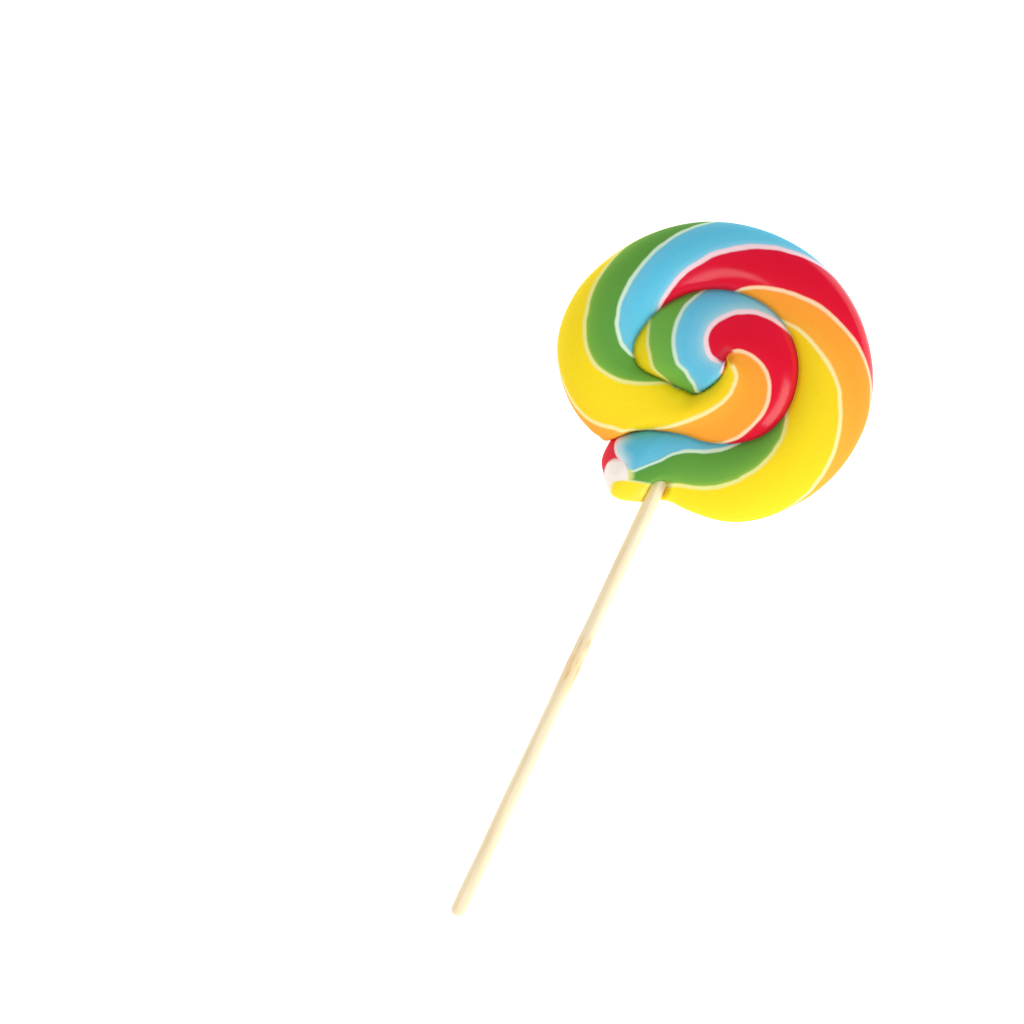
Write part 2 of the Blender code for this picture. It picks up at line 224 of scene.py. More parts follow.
def rope_sheet(rows, front):
    """One face of the rope on a grid of rows (angles) by places across: x, y, z in mm and crease share.

    Places across are even in the section's own turning angle, so they crowd where it falls steeply.
    """
    outer = rope_edge(rows)
    inner = inner_edge(rows)
    if front:
        crown, inner_reach, outer_reach = front_reach(rows)
        power = FRONT_POWER
        cells = FRONT_CELLS
    else:
        crown = BACK_DEPTH * tail_cap(rows)
        outer_rise = np.where(rows <= ROPE_START + 360, 0.0, WIDEST_Z - through(BACK_CREASE, rows))
        inner_reach = reach(WIDEST_Z - through(BACK_CREASE, rows + 360), crown, BACK_POWER)
        outer_reach = reach(outer_rise, crown, BACK_POWER)
        power = BACK_POWER
        cells = BACK_CELLS
    start = -np.arcsin(inner_reach)[:, None]
    end = np.arcsin(outer_reach)[:, None]
    place = np.sin(start + (end - start) * np.linspace(0.0, 1.0, cells + 1)[None, :])
    across = (place - place[:, :1]) / np.maximum(place[:, -1:] - place[:, :1], 1e-6)
    radius = inner[:, None] + (outer - inner)[:, None] * across
    if front:
        even = even_edge(rows)[:, None]
        edge = even + (outer[:, None] - even) * across**3
        share = (radius - inner[:, None]) / np.maximum(edge - inner[:, None], 0.01)
        place = place[:, :1] + (place[:, -1:] - place[:, :1]) * np.clip(share, 0.0, 1.0)
    rise = crown[:, None] * (1.0 - np.abs(place) ** power) ** (1.0 / power)
    turn = np.radians(rows)[:, None]
    x = radius * np.cos(turn)
    y = radius * np.sin(turn)
    if not front:
        return x, y, np.maximum(WIDEST_Z - rise, 0.0), np.zeros_like(x)
    pulled = np.exp(-((radius / POLE_SPREAD) ** 2))
    x = x + POLE_SHIFT[0] * pulled
    y = y + POLE_SHIFT[1] * pulled
    crease = crease_share(rows[:, None], inner[:, None], radius, outer[:, None])
    pit = np.exp(-((radius / DIMPLE_RADIUS) ** 2))
    sunk = CREASE_CUT * crease + (DIMPLE_DEPTH - CREASE_CUT * crease) * pit
    return x, y, grooved(x, y, WIDEST_Z + rise - sunk), np.maximum(crease, pit)


def stripe_sets(rows, cells, front):
    """Stripe sets passed at each grid place: a cubic across the rope through the course's four values.

    The back carries the stripes on from the outer edge round to the inner one.
    """
    inner, second, third, outer = (through(STRIPE_COURSE, rows, column)[:, None] for column in (1, 2, 3, 4))
    across = np.linspace(0.0, 1.0, cells + 1)[None, :]
    if not front:
        return outer + (1.0 - (outer - inner)) * (1.0 - across)
    u = 3.0 * across
    return (
        inner * (1 - u) * (2 - u) * (3 - u) / 6
        + second * u * (2 - u) * (3 - u) / 2
        - third * u * (1 - u) * (3 - u) / 2
        + outer * u * (1 - u) * (2 - u) / 6
    )


def mm_per_set(x, y, z, sets):
    """Millimetres of surface that one whole stripe set takes: one over the length of the sets' gradient."""
    place = np.stack([x, y, z], axis=-1)
    along = np.gradient(place, axis=0)
    over = np.gradient(place, axis=1)
    sets_along = np.gradient(sets, axis=0)
    sets_over = np.gradient(sets, axis=1)
    aa = (along * along).sum(-1)
    oo = (over * over).sum(-1)
    ao = (along * over).sum(-1)
    area = np.maximum(aa * oo - ao * ao, 1e-9)
    steep = (sets_along**2 * oo - 2 * sets_along * sets_over * ao + sets_over**2 * aa) / area
    return np.clip(1.0 / np.sqrt(np.maximum(steep, 1e-9)), LEAST_SET, MOST_SET)


def add_piece(name, points, triangles, corner_values):
    """Mesh object from arrays: points in mm from the swirl's centre, triangles, values for each corner."""
    mesh = bpy.data.meshes.new(name)
    mesh.vertices.add(len(points))
    placed = (points + np.array([CENTRE_X, CENTRE_Y, 0.0])) * MM
    mesh.vertices.foreach_set("co", placed.astype(np.float32).ravel())
    mesh.loops.add(triangles.size)
    mesh.loops.foreach_set("vertex_index", triangles.astype(np.int32).ravel())
    mesh.polygons.add(len(triangles))
    mesh.polygons.foreach_set("loop_start", np.arange(0, triangles.size, 3, dtype=np.int32))
    mesh.update(calc_edges=True)
    for key, values in corner_values.items():
        if values.shape[-1] == 2:
            layer = mesh.uv_layers.new(name=key)
            layer.uv.foreach_set("vector", values.astype(np.float32).ravel())
        else:
            layer = mesh.attributes.new(key, "FLOAT", "CORNER")
            layer.data.foreach_set("value", values.astype(np.float32).ravel())
    mesh.shade_smooth()
    piece = bpy.data.objects.new(name, mesh)
    bpy.context.collection.objects.link(piece)
    return piece


def spiral_rows():
    """Row angles. Each turn repeats the same ones, so that neighbouring turns share their crease."""
    fine = np.arange(FINE_ROWS) * FINE_SPAN / FINE_ROWS
    coarse = FINE_SPAN + np.arange(COARSE_ROWS) * (360 - FINE_SPAN) / COARSE_ROWS
    turn = ROPE_START + np.concatenate([fine, coarse])
    rows = np.concatenate([turn, turn + 360, turn + 720])
    return rows[rows < ROPE_END - LAST_GAP]


def rope_length(rows):
    """Length along the rope's outer edge up to each row: the running sum of the steps in x and y."""
    turn = np.radians(rows)
    x = rope_edge(rows) * np.cos(turn)
    y = rope_edge(rows) * np.sin(turn)
    return np.cumsum(np.hypot(np.gradient(x), np.gradient(y)))


def split_cells(numbers):
    """Two triangles, abc and acd, for each cell of a grid; a and b lie in one row, d and c in the next."""
    a = numbers[:-1, :-1].ravel()
    b = numbers[:-1, 1:].ravel()
    c = numbers[1:, 1:].ravel()
    d = numbers[1:, :-1].ravel()
    return np.concatenate([np.stack([a, b, c], 1), np.stack([a, c, d], 1)])


def head_arrays():
    """Points, triangles and corner values of the closed head: a front and a back sheet sharing the rim."""
    rows = spiral_rows()
    count = len(rows)
    per_turn = FINE_ROWS + COARSE_ROWS
    row_number = np.arange(count)
    length = rope_length(rows)[:, None]
    cut_end = 1.0 - ease((rows - TAIL_MIDDLE) / TAIL_BLEND + 0.5)[:, None]
    knob = ease((rows - KNOB_TO) / KNOB_PAINTED_LIGHT_SPAN)[:, None]
    points = []
    triangles = []
    values = {"stripes": [], "mm_per_set": [], "crease": [], "cut_end": [], "knob": []}
    used = 0
    rim_index = None
    for front in (True, False):
        x, y, z, crease = rope_sheet(rows, front)
        cells = x.shape[1] - 1
        sets = stripe_sets(rows, cells, front)
        # the vertices of the outer edge: the rim's are the front sheet's, for both sheets
        edge_points = np.stack([x[:, -1], y[:, -1], z[:, -1]], axis=1)
        inside_points = np.stack([x[1:, 1:-1], y[1:, 1:-1], z[1:, 1:-1]], axis=-1).reshape(-1, 3)
        pole_point = np.array([[*POLE_SHIFT, POLE_Z - DIMPLE_DEPTH] if front else [0.0, 0.0, 0.0]])
        edge_index = used + row_number
        if front:
            rim_index = edge_index.copy()
        else:
            edge_index[:per_turn] = rim_index[:per_turn]
        edge_index[per_turn] = rim_index[0]
        inside_index = used + count + np.arange((count - 1) * (cells - 1)).reshape(count - 1, cells - 1)
        pole_index = used + count + inside_points.shape[0]
        grid = np.full((count + 1, cells + 1), pole_index)
        grid[:count, cells] = edge_index
        grid[: count - per_turn, 0] = edge_index[per_turn:]
        grid[1:count, 1:cells] = inside_index
        grid[0, :] = edge_index[0]
        points.append(np.concatenate([edge_points, inside_points, pole_point]))
        used += count + inside_points.shape[0] + 1
        # triangles with two corners in one vertex fall out
        corners = split_cells(np.arange(grid.size).reshape(grid.shape))
        if not front:
            corners = corners[:, ::-1]
        vertex = grid.ravel()[corners]
        whole = (vertex != np.roll(vertex, 1, axis=1)).all(axis=1)
        corners = corners[whole]
        triangles.append(vertex[whole])
        across = np.ones((1, cells + 1))
        # the values at each corner; the pole's row has the last row's
        at_corners = {
            key: np.concatenate([sheet, sheet[-1:]]).ravel()[corners]
            for key, sheet in {
                "sets": sets,
                "length": length * UV_PER_MM * across,
                "mm_per_set": mm_per_set(x, y, z, sets),
                "crease": crease,
                "cut_end": cut_end * across,
                "knob": knob * across,
            }.items()
        }
        at_corners["stripes"] = np.stack([at_corners.pop("sets"), at_corners.pop("length")], axis=-1)
        for key, found in at_corners.items():
            values[key].append(found)
    points = np.concatenate(points)
    triangles = np.concatenate(triangles)
    values = {key: np.concatenate(parts) for key, parts in values.items()}
    # drop the vertices that no triangle uses
    kept = np.zeros(len(points), bool)
    kept[triangles] = True
    renumbered = np.cumsum(kept) - 1
    return points[kept], renumbered[triangles], values


head_points, head_triangles, head_values = head_arrays()
sugar_rope = add_piece("sugar_rope", head_points, head_triangles, head_values)


def linear(code):
    """sRGB hex colour as linear light, with alpha 1."""
    values = [int(code[i:i + 2], 16) / 255 for i in (1, 3, 5)]
    return [v / 12.92 if v <= 0.04045 else ((v + 0.055) / 1.055) ** 2.4 for v in values] + [1.0]


def add(tree, kind, inputs=None, **settings):
    """Adds a shader node with its settings; an input is a value, or a socket to link from."""
    made = tree.nodes.new(kind)
    for key, value in settings.items():
        setattr(made, key, value)
    for key, value in (inputs or {}).items():
        if isinstance(value, bpy.types.NodeSocket):
            tree.links.new(value, made.inputs[key])
        else:
            made.inputs[key].default_value = value
    return made


def per_metre(size):
    """A noise's scale: how many times a size in mm fits in a metre."""
    return 1.0 / (size * MM)


def new_material(name, settings):
    """Material with its shader's even values set, given back with its node tree and shader."""
    material = bpy.data.materials.new(name)
    material.use_nodes = True
    shader = material.node_tree.nodes["Principled BSDF"]
    for key, value in settings.items():
        shader.inputs[key].default_value = value
    return material, material.node_tree, shader


def set_ramp(ramp, stops):
    """Fills a colour ramp with (place, hex colour) stops."""
    elements = ramp.elements
    while len(elements) > 1:
        elements.remove(elements[-1])
    elements[0].position = stops[0][0]
    elements[0].color = linear(stops[0][1])
    for place, code in stops[1:]:
        elements.new(place).color = linear(code)


# Pulled boiled sugar: glass-like sugar with fine air in it, cooked, coloured and drawn out by hand. It gives
# clean saturated bands with a satin shine, a little light passing under the skin, and a fine mottling.
SUGAR_IOR = 1.5
SUGAR_SKIN = {
    "IOR": SUGAR_IOR,
    "Specular IOR Level": 0.34,
    "Subsurface Weight": 0.15,
    "Subsurface Radius": (1.0, 0.7, 0.5),
    "Subsurface Scale": 0.0012,
}
DRIFT_SIZE = 7.692        # mm over which the stripes stray a little,
DRIFT = 0.022             # by this share of a set
SKIN_SIZE = 3.846         # mm of the skin's slow unevenness
MOTTLE_SIZE = 0.4545      # mm of the fine tone changes of drawn-out sugar
STRIPE_STOPS = (          # over one set of five stripes, inner to outer
    (0.000, "#F6D90C"), (0.020, "#FCDD0C"), (0.140, "#FDDE0E"), (0.255, "#FBD60C"), (0.270, "#FBD20F"),
    (0.280, "#FDB033"), (0.360, "#FDA229"), (0.445, "#FB9C2B"),
    (0.465, "#E21432"), (0.560, "#DB0D2E"), (0.660, "#DD1236"),
    (0.685, "#8ACBE2"), (0.715, "#62C2DF"), (0.780, "#58BFDE"), (0.845, "#68BFDA"),
    (0.865, "#5A9A38"), (0.930, "#63A23A"), (0.975, "#74AE3F"), (0.992, "#93BE3E"),
)
KNOB_STOPS_WITH_PAINTED_LIGHT = (            # the same on the knob, with painted light: its blue and green are lighter where the raised knob is lit more; the blue's paling to the red is its own colour
    (0.000, "#F6D90C"), (0.020, "#FCDD0C"), (0.140, "#FDDE0E"), (0.255, "#FBD60C"), (0.270, "#FBD20F"),
    (0.280, "#FDB033"), (0.360, "#FDA229"), (0.445, "#FB9C2B"),
    (0.465, "#E21432"), (0.560, "#DB0D2E"), (0.660, "#DD1236"),
    (0.685, "#A4CFDB"), (0.710, "#86C7DB"), (0.740, "#6EC2DE"), (0.800, "#60C0DF"), (0.845, "#70C3DA"),
    (0.865, "#6BAA43"), (0.930, "#72B341"), (0.975, "#7DB648"), (0.992, "#97C243"),
)
PALE_LINES = (            # (place in the set, half width in mm, hex colour)
    (0.000, 0.50, "#EDE88F"), (0.275, 0.55, "#FFE9A0"), (0.455, 0.50, "#FFD3A8"),
    (0.675, 0.62, "#F6D3DA"), (0.855, 0.50, "#CFE8CE"),
)
LINE_SOFTNESS = 0.28               # mm over which a pale line fades out to both sides
THIN_AT_CUT = 0.7                  # the pale lines thin out towards the cut end
LINES_END = 1.9                    # and run out this far from the pressed-in last end, in mm,
LINES_WHOLE = 2.8                  # from their full strength here
RED_MIDDLE = 0.565                 # the red was pulled least and stays the glossiest
RED_HALF_WIDTH = (0.09, 0.14)      # in sets, where its gloss starts to fall and where it has gone
RED_ROUGH = 0.17                   # roughness of the red's middle,
OTHER_ROUGH = 0.75                 # and of the stretched and whipped colours
CREASE_ROUGHER = 0.5               # no gloss down in the creases
PIT_ROUGHER = 0.4                  # and less round the pressed-in pit
# painted shade in the creases and round the pit: how far their colour is darkened towards the shade colour
# below
CREASE_PAINTED_SHADE = 0.25
CREASE_SHADE = "#5A463E"
PIT_START = 0.3                    # the pressed-in pit fades out between these distances, in mm
PIT_END = 4.0
PIT_PAINTED_SHADE_SHARE = 1.0                    # painted shade round the pit, as this share of the creases' painted shade
PHOTO_TURN = math.radians(25.26)   # the photo's upright, counter-clockwise from the stick's direction
CUT_CENTRE = (-13.83, -38.28)      # the bared core's middle, in mm from the swirl's centre
RING = (3.69, 5.77)                # middle of the pale ring that bounds the cut's red, in mm from the core's
CUT_COLOURS_AND_MOUTH_SHADE = (
    # (middle, half size, lean in degrees, power of the oval, the shares of its size where it starts and is
    #  whole, how far right it ends, strength, colour)
    (RING, (3.6, 3.6), 0, 2, (-0.1, 1.0), (1.0, 5.2), 0.75, "#E2F4F7"),
    (RING, (3.6, 3.6), 0, 2, (0.91, 0.98), (1.0, 3.0), 0.9, "#F8E2E2"),
    (RING, (3.6, 3.6), 0, 2, (1.11, 1.19), (1.2, 3.2), 1.0, "#E8283F"),
    ((3.1, -1.2), (2.2, 2.3), 0, 2, (1.0, 0.25), (9.0, 10.0), 0.9, "#DADF76"),
    ((0.0, -1.7), (3.1, 4.6), 0, 2, (1.12, 0.90), (9.0, 10.0), 1.0, "#FBEEE4"),
    ((4.6, -5.85), (6.2, 3.2), -8, 4, (1.09, 0.95), (12.0, 13.0), 0.75, "#EFE9A6"),
    ((4.6, -5.85), (5.85, 2.85), -8, 4, (1.07, 0.93), (12.0, 13.0), 1.0, "#F9DF1E"),
    # painted shade: the gap beside the stick's mouth, darkened to a deep orange
    ((12.9, -5.0), (1.1, 3.0), -13, 2, (1.0, 0.3), (14.0, 15.0), 5.0, "#F2A30C"),
)


def pole_distance(tree, place, start, whole):
    """Socket that rises from 0 at start to 1 at whole, both in mm from the rope's pressed-in last end."""
    from_pole = add(
        tree,
        "ShaderNodeMapping",
        {
            "Vector": place,
            "Location": ((CENTRE_X + POLE_SHIFT[0]) * MM, (CENTRE_Y + POLE_SHIFT[1]) * MM, POLE_Z * MM),
            "Scale": (MM, MM, MM),
        },
        vector_type="TEXTURE",
    )
    length = add(tree, "ShaderNodeVectorMath", {0: from_pole.outputs["Vector"]}, operation="LENGTH")
    clear = add(
        tree,
        "ShaderNodeMapRange",
        {"Value": length.outputs["Value"], "From Min": start, "From Max": whole},
        interpolation_type="SMOOTHSTEP",
    )
    return clear.outputs["Result"]


def stripe_colour(tree, place, line_strength):
    """Colour socket of the stripes, from the stripe sets in the piece's own UV map."""
    uv = add(tree, "ShaderNodeUVMap", uv_map="stripes")
    split = add(tree, "ShaderNodeSeparateXYZ", {"Vector": uv.outputs["UV"]})
    drift = add(tree, "ShaderNodeTexNoise", {"Vector": place, "Scale": per_metre(DRIFT_SIZE), "Detail": 2.0})
    shift = add(tree, "ShaderNodeMath", {0: drift.outputs["Fac"], 1: -0.5}, operation="ADD")
    moved = add(
        tree,
        "ShaderNodeMath",
        {0: shift.outputs[0], 1: DRIFT, 2: split.outputs["X"]},
        operation="MULTIPLY_ADD",
    )
    sets = moved.outputs[0]
    turn = add(tree, "ShaderNodeMath", {0: sets}, operation="FRACT")
    ramp = add(tree, "ShaderNodeValToRGB", {"Fac": turn.outputs[0]})
    set_ramp(ramp.color_ramp, STRIPE_STOPS)
    # painted light: the knob's rows take a ramp with lighter blue and green
    knob_painted_light_ramp = add(tree, "ShaderNodeValToRGB", {"Fac": turn.outputs[0]})
    set_ramp(knob_painted_light_ramp.color_ramp, KNOB_STOPS_WITH_PAINTED_LIGHT)
    knob = add(tree, "ShaderNodeAttribute", attribute_name="knob").outputs["Fac"]
    colour = add(
        tree,
        "ShaderNodeMix",
        {0: knob, 6: ramp.outputs["Color"], 7: knob_painted_light_ramp.outputs["Color"]},
        data_type="RGBA",
    ).outputs[2]
    size = add(tree, "ShaderNodeAttribute", attribute_name="mm_per_set").outputs["Fac"]
    tail = add(tree, "ShaderNodeAttribute", attribute_name="cut_end").outputs["Fac"]
    thinner = add(tree, "ShaderNodeMath", {0: tail, 1: THIN_AT_CUT, 2: 1.0}, operation="MULTIPLY_ADD")
    width_scale = add(
        tree,
        "ShaderNodeMath",
        {0: size, 1: thinner.outputs[0]},
        operation="MULTIPLY",
    ).outputs[0]
    for line_place, half_width, code in PALE_LINES:
        offset = add(tree, "ShaderNodeMath", {0: sets, 1: line_place}, operation="SUBTRACT")
        apart = add(tree, "ShaderNodeMath", {0: offset.outputs[0], 1: 0.5}, operation="PINGPONG")
        distance = add(tree, "ShaderNodeMath", {0: apart.outputs[0], 1: width_scale}, operation="MULTIPLY")
        mask = add(
            tree,
            "ShaderNodeMapRange",
            {
                "Value": distance.outputs[0],
                "From Min": half_width - LINE_SOFTNESS,
                "From Max": half_width + LINE_SOFTNESS,
                "To Min": 1.0,
                "To Max": 0.0,
            },
            interpolation_type="SMOOTHSTEP",
        )
        seen = add(
            tree,
            "ShaderNodeMath",
            {0: mask.outputs["Result"], 1: line_strength},
            operation="MULTIPLY",
        )
        blend = add(
            tree,
            "ShaderNodeMix",
            {0: seen.outputs[0], 6: colour, 7: linear(code)},
            data_type="RGBA",
        )
        colour = blend.outputs[2]
    return colour


def cut_place(tree, place):
    """Place in mm from the bared core's middle, to the photo's right and up."""
    turned = add(
        tree,
        "ShaderNodeMapping",
        {
            "Vector": place,
            "Location": ((CENTRE_X + CUT_CENTRE[0]) * MM, (CENTRE_Y + CUT_CENTRE[1]) * MM, 0.0),
            "Rotation": (0.0, 0.0, PHOTO_TURN),
            "Scale": (MM, MM, 1.0),
        },
        vector_type="TEXTURE",
    )
    return turned.outputs["Vector"]


def cut_end_colour_and_mouth_shade(tree, place, colour):
    """Lays the cut end's own colours over the stripes, and a painted shade in the gap beside the stick's
    mouth, one oval after another.

    An oval's distance is (|x|^p + |y|^p)^(1/p), with x and y as shares of its half sizes.
    """
    local = cut_place(tree, place)
    sideways = add(tree, "ShaderNodeSeparateXYZ", {"Vector": local})
    tail = add(tree, "ShaderNodeAttribute", attribute_name="cut_end").outputs["Fac"]
    for middle, half, lean, power, (inside, outside), (right_from, right_to), strength, code in CUT_COLOURS_AND_MOUTH_SHADE:
        scaled = add(
            tree,
            "ShaderNodeMapping",
            {
                "Vector": local,
                "Location": (*middle, 0.0),
                "Rotation": (0.0, 0.0, math.radians(lean)),
                "Scale": (*half, 1.0),
            },
            vector_type="TEXTURE",
        )
        parts = add(tree, "ShaderNodeSeparateXYZ", {"Vector": scaled.outputs["Vector"]})
        across = add(tree, "ShaderNodeMath", {0: parts.outputs["X"]}, operation="ABSOLUTE")
        upward = add(tree, "ShaderNodeMath", {0: parts.outputs["Y"]}, operation="ABSOLUTE")
        across = add(tree, "ShaderNodeMath", {0: across.outputs[0], 1: power}, operation="POWER")
        upward = add(tree, "ShaderNodeMath", {0: upward.outputs[0], 1: power}, operation="POWER")
        away = add(tree, "ShaderNodeMath", {0: across.outputs[0], 1: upward.outputs[0]}, operation="ADD")
        away = add(tree, "ShaderNodeMath", {0: away.outputs[0], 1: 1.0 / power}, operation="POWER")
        mask = add(
            tree,
            "ShaderNodeMapRange",
            {
                "Value": away.outputs[0],
                "From Min": inside,
                "From Max": outside,
                "To Min": 0.0,
                "To Max": strength,
            },
            interpolation_type="SMOOTHSTEP",
        )
        limit = add(
            tree,
            "ShaderNodeMapRange",
            {
                "Value": sideways.outputs["X"],
                "From Min": right_from,
                "From Max": right_to,
                "To Min": 1.0,
                "To Max": 0.0,
            },
            interpolation_type="SMOOTHSTEP",
        )
        both = add(
            tree,
            "ShaderNodeMath",
            {0: mask.outputs["Result"], 1: limit.outputs["Result"]},
            operation="MULTIPLY",
        )
        there = add(tree, "ShaderNodeMath", {0: both.outputs[0], 1: tail}, operation="MULTIPLY")
        blend = add(
            tree,
            "ShaderNodeMix",
            {0: there.outputs[0], 6: colour, 7: linear(code)},
            data_type="RGBA",
        )
        colour = blend.outputs[2]
    return colour


def pulled_sugar():
    """Striped pulled sugar: stripes, fine mottling, painted shade in the creases and round the pit, a satin
    skin that is glossiest on the red.
    """
    material, tree, shader = new_material("pulled_boiled_sugar", SUGAR_SKIN)
    place = add(tree, "ShaderNodeTexCoord").outputs["Object"]
    clear = pole_distance(tree, place, LINES_END, LINES_WHOLE)
    outside = pole_distance(tree, place, PIT_START, PIT_END)
    colour = cut_end_colour_and_mouth_shade(tree, place, stripe_colour(tree, place, clear))
    mottle = add(
        tree,
        "ShaderNodeTexNoise",
        {"Vector": place, "Scale": per_metre(MOTTLE_SIZE), "Detail": 3.0},
    )
    value = add(
        tree,
        "ShaderNodeMapRange",
        {"Value": mottle.outputs["Fac"], "From Min": 0.3, "From Max": 0.7, "To Min": 0.97, "To Max": 1.03},
    )
    toned = add(tree, "ShaderNodeHueSaturation", {"Value": value.outputs["Result"], "Color": colour})
    crease = add(tree, "ShaderNodeAttribute", attribute_name="crease")
    pressed = add(tree, "ShaderNodeMath", {0: 1.0, 1: outside}, operation="SUBTRACT")
    # painted shade: the colour darkens towards the crease shade colour in the creases and round the
    # pressed-in pit
    low = add(
        tree,
        "ShaderNodeMath",
        {0: pressed.outputs[0], 1: PIT_PAINTED_SHADE_SHARE, 2: crease.outputs["Fac"]},
        operation="MULTIPLY_ADD",
        use_clamp=True,
    )
    painted_shade_amount = add(tree, "ShaderNodeMath", {0: low.outputs[0], 1: CREASE_PAINTED_SHADE}, operation="MULTIPLY")
    shaded = add(
        tree,
        "ShaderNodeMix",
        {0: painted_shade_amount.outputs[0], 6: toned.outputs["Color"], 7: linear(CREASE_SHADE)},
        data_type="RGBA",
        blend_type="MULTIPLY",
    )
    tree.links.new(shaded.outputs[2], shader.inputs["Base Color"])
    skin = add(tree, "ShaderNodeTexNoise", {"Vector": place, "Scale": per_metre(SKIN_SIZE), "Detail": 3.0})
    uneven = add(
        tree,
        "ShaderNodeMapRange",
        {"Value": skin.outputs["Fac"], "From Min": 0.3, "From Max": 0.7, "To Min": -0.015, "To Max": 0.015},
    )
    uv = add(tree, "ShaderNodeUVMap", uv_map="stripes")
    split = add(tree, "ShaderNodeSeparateXYZ", {"Vector": uv.outputs["UV"]})
    from_red = add(tree, "ShaderNodeMath", {0: split.outputs["X"], 1: RED_MIDDLE}, operation="SUBTRACT")
    apart = add(tree, "ShaderNodeMath", {0: from_red.outputs[0], 1: 0.5}, operation="PINGPONG")
    satin = add(
        tree,
        "ShaderNodeMapRange",
        {
            "Value": apart.outputs[0],
            "From Min": RED_HALF_WIDTH[0],
            "From Max": RED_HALF_WIDTH[1],
            "To Min": RED_ROUGH,
            "To Max": OTHER_ROUGH,
        },
        interpolation_type="SMOOTHSTEP",
    )
    even = add(
        tree,
        "ShaderNodeMath",
        {0: satin.outputs["Result"], 1: uneven.outputs["Result"]},
        operation="ADD",
    )
    rough = add(
        tree,
        "ShaderNodeMath",
        {0: crease.outputs["Fac"], 1: CREASE_ROUGHER, 2: even.outputs[0]},
        operation="MULTIPLY_ADD",
    )
    rough = add(
        tree,
        "ShaderNodeMath",
        {0: pressed.outputs[0], 1: PIT_ROUGHER, 2: rough.outputs[0]},
        operation="MULTIPLY_ADD",
        use_clamp=True,
    )
    tree.links.new(rough.outputs[0], shader.inputs["Roughness"])
    bump = add(
        tree,
        "ShaderNodeBump",
        {"Height": skin.outputs["Fac"], "Strength": 0.035, "Distance": 0.4 * MM},
    )
    tree.links.new(bump.outputs["Normal"], shader.inputs["Normal"])
    return material


sugar_rope.data.materials.append(pulled_sugar())
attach(sugar_rope, "root")
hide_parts("candy")

# The rope's pale core, where the slanted cut bares it. It is white pulled sugar, whipped full of air, that
# runs through the middle of the rope; the coloured stripes were laid round it before the rope was drawn out.
CUT_HALF_WIDTH = 2.9
CUT_HALF_HEIGHT = 2.9
CUT_SQUARENESS = 0.85     # 1 is an ellipse, less is squarer
CUT_RINGS = 26
CUT_SIDES = 72
CUT_PROUD = 0.06          # the core stands this far over the stripes' sugar in the middle
CUT_DEPTH = 1.2           # the patch reaches this far into the rope
CUT_RIM_SHARE = 0.998     # and keeps inside this share of the rim's distance


def front_height(x, y):
    """Height of the rope's front at places on its first turn, from the same section as the grid's."""
    angles = (np.degrees(np.arctan2(y, x)) - ROPE_START) % 360 + ROPE_START
    inner = inner_edge(angles)
    outer = rope_edge(angles)
    crown, inner_reach, outer_reach = front_reach(angles)
    share = np.clip((np.hypot(x, y) - inner) / np.maximum(outer - inner, 0.01), 0.0, 1.0)
    place = -inner_reach + (inner_reach + outer_reach) * share
    rise = crown * (1.0 - np.abs(place) ** FRONT_POWER) ** (1.0 / FRONT_POWER)
    return grooved(x, y, WIDEST_Z + rise)


def closed(numbers):
    """The grid of numbers with its first column once more at its end."""
    return np.concatenate([numbers, numbers[:, :1]], axis=1)


def core_end():
    """Closed lens laid in the cut: rings of an oval on the rope's front, and the same rings sunk under it.

    The outline is |cos a|^n by |sin a|^n with n the squareness, held inside the rim.
    """
    ring = np.linspace(0.0, 1.0, CUT_RINGS + 1)[:, None]
    turn = np.linspace(0.0, math.tau, CUT_SIDES, endpoint=False)[None, :]
    wide = CUT_HALF_WIDTH * np.sign(np.cos(turn)) * np.abs(np.cos(turn)) ** CUT_SQUARENESS * ring
    high = CUT_HALF_HEIGHT * np.sign(np.sin(turn)) * np.abs(np.sin(turn)) ** CUT_SQUARENESS * ring
    x = CUT_CENTRE[0] + wide * math.cos(PHOTO_TURN) - high * math.sin(PHOTO_TURN)
    y = CUT_CENTRE[1] + wide * math.sin(PHOTO_TURN) + high * math.cos(PHOTO_TURN)
    angles = (np.degrees(np.arctan2(y, x)) - ROPE_START) % 360 + ROPE_START
    radius = np.hypot(x, y)
    held = np.minimum(radius, rope_edge(angles) * CUT_RIM_SHARE) / radius
    x = x * held
    y = y * held
    surface = front_height(x, y)
    top = surface + CUT_PROUD * (1.0 - 2.0 * ring**8)
    under = top - CUT_DEPTH * (1.0 - ring**4)
    shown = np.stack([x, y, top], axis=-1)
    hidden = np.stack([x, y, under], axis=-1)[1:-1]
    points = np.concatenate([shown[:1, 0], shown[1:].reshape(-1, 3), shown[:1, 0], hidden.reshape(-1, 3)])
    low_middle = 1 + CUT_RINGS * CUT_SIDES
    points[low_middle] = [x[0, 0], y[0, 0], under[0, 0]]
    upper = 1 + np.arange(CUT_RINGS * CUT_SIDES).reshape(CUT_RINGS, CUT_SIDES)
    lower = low_middle + 1 + np.arange((CUT_RINGS - 1) * CUT_SIDES).reshape(CUT_RINGS - 1, CUT_SIDES)
    lower = np.concatenate([lower, upper[-1:]])
    triangles = []
    for number, hub, turned in ((upper, 0, False), (lower, low_middle, True)):
        ringed = closed(number)
        middle = np.stack([np.full(CUT_SIDES, hub), ringed[0, :-1], ringed[0, 1:]], axis=1)
        sheet = np.concatenate([middle, split_cells(ringed)[:, ::-1]])
        triangles.append(sheet[:, ::-1] if turned else sheet)
    return points, np.concatenate(triangles)


core_points, core_triangles = core_end()
core_cut_end = add_piece("core_cut_end", core_points, core_triangles, {})

CLOUD_SIZE = 3.125        # mm of the white's faint cloudiness
BLEED = (1.9, 3.0)        # mm over the core's middle between which the red's stain comes in
BLEED_STRENGTH = 0.6
WHITE_SUGAR = {
    "Roughness": 0.45,
    "IOR": SUGAR_IOR,
    "Subsurface Weight": 0.2,
    "Subsurface Radius": (1.0, 0.9, 0.8),
    "Subsurface Scale": 0.001,
}


